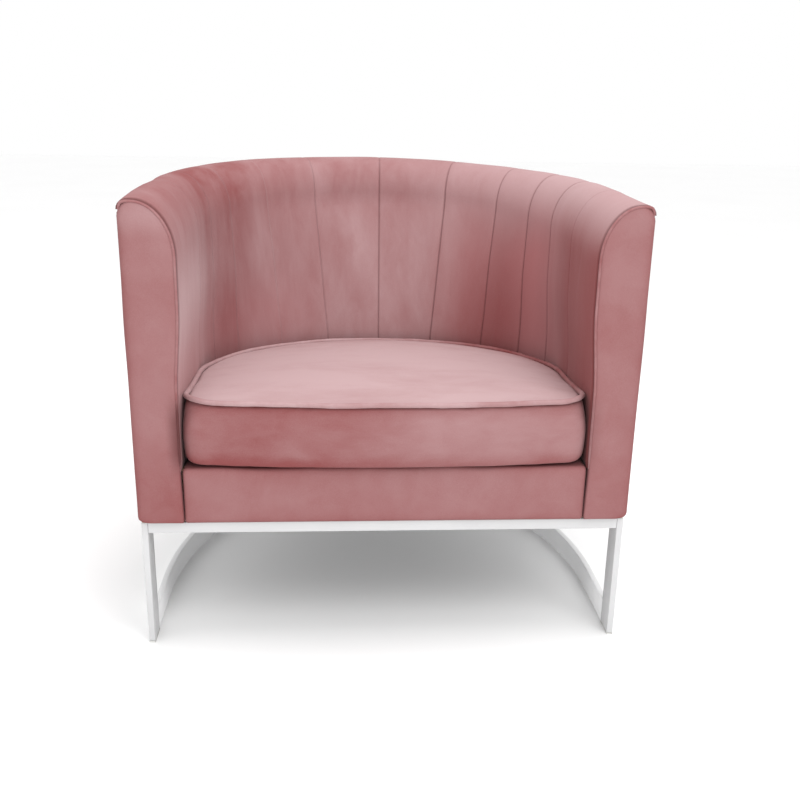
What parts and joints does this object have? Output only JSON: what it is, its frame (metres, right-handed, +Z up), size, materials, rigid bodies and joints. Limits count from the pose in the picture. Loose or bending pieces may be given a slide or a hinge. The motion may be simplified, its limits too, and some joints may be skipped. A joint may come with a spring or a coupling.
{
  "type": "upholstered tub armchair",
  "caption": "Velvet tub armchair with a channelled wrap-round back, a loose D-shaped seat cushion and a sled base of flat painted bar.",
  "frame": {"origin": "on the floor, under the middle of the chair measured from the front of the cushion to the outside of the back", "axes": "+Z up, -Y towards the front of the chair, +X towards the right arm as seen from the front"},
  "size_m": [0.78, 0.6974, 0.737],
  "materials": {
    "velvet": "matte",
    "velvet_welt": "matte",
    "foam": "matte",
    "timber": "matte",
    "webbing": "matte",
    "lining": "matte",
    "painted_steel": "satin",
    "zinc": "satin",
    "glide": "matte"
  },
  "bodies": {
    "chair": {"outer_cover": "velvet", "inner_cover": "velvet", "arm_facing_left": "velvet", "arm_facing_right": "velvet", "apron_cover": "velvet", "arm_piping_left": "velvet_welt", "arm_piping_right": "velvet_welt", "rim_welt": "velvet_welt", "back_foam": "foam", "apron_foam": "foam", "inner_board": "timber", "outer_board": "timber", "shell_top_rail": "timber", "shell_bottom_rail": "timber", "arm_front_panel_left": "timber", "arm_front_panel_right": "timber", "back_stud_left": "timber", "back_stud_right": "timber", "seat_front_board": "timber", "seat_back_board": "timber", "seat_side_board_left": "timber", "seat_side_board_right": "timber", "seat_corner_board_left": "timber", "seat_corner_board_right": "timber", "strap_long_left": "webbing", "strap_long_middle": "webbing", "strap_long_right": "webbing", "strap_cross_front": "webbing", "strap_cross_middle": "webbing", "strap_cross_rear": "webbing", "seat_deck_pad": "lining", "dust_cover": "lining", "floor_bar": "painted_steel", "top_frame": "painted_steel", "front_rail": "painted_steel", "front_post_left": "painted_steel", "front_post_right": "painted_steel", "rear_post_left": "painted_steel", "rear_post_right": "painted_steel", "mounting_tab_front_left": "painted_steel", "mounting_tab_front_right": "painted_steel", "mounting_tab_rear_left": "painted_steel", "mounting_tab_rear_right": "painted_steel", "base_bolt_front_left": "zinc", "base_bolt_front_right": "zinc", "base_bolt_rear_left": "zinc", "base_bolt_rear_right": "zinc", "threaded_insert_front_left": "zinc", "threaded_insert_front_right": "zinc", "threaded_insert_rear_left": "zinc", "threaded_insert_rear_right": "zinc", "front_pad_left": "glide", "front_pad_right": "glide", "rear_pad_left": "glide", "rear_pad_right": "glide"},
    "cushion": {"cushion_top_panel": "velvet", "cushion_boxing": "velvet", "cushion_bottom_panel": "velvet", "cushion_welt": "velvet_welt", "cushion_foam": "foam"}
  },
  "joints": [
    {"name": "cushion_lift", "type": "slide", "parent": "chair", "child": "cushion", "axis": [0, 0, 1], "range_m": [0, 0.45]}
  ]
}
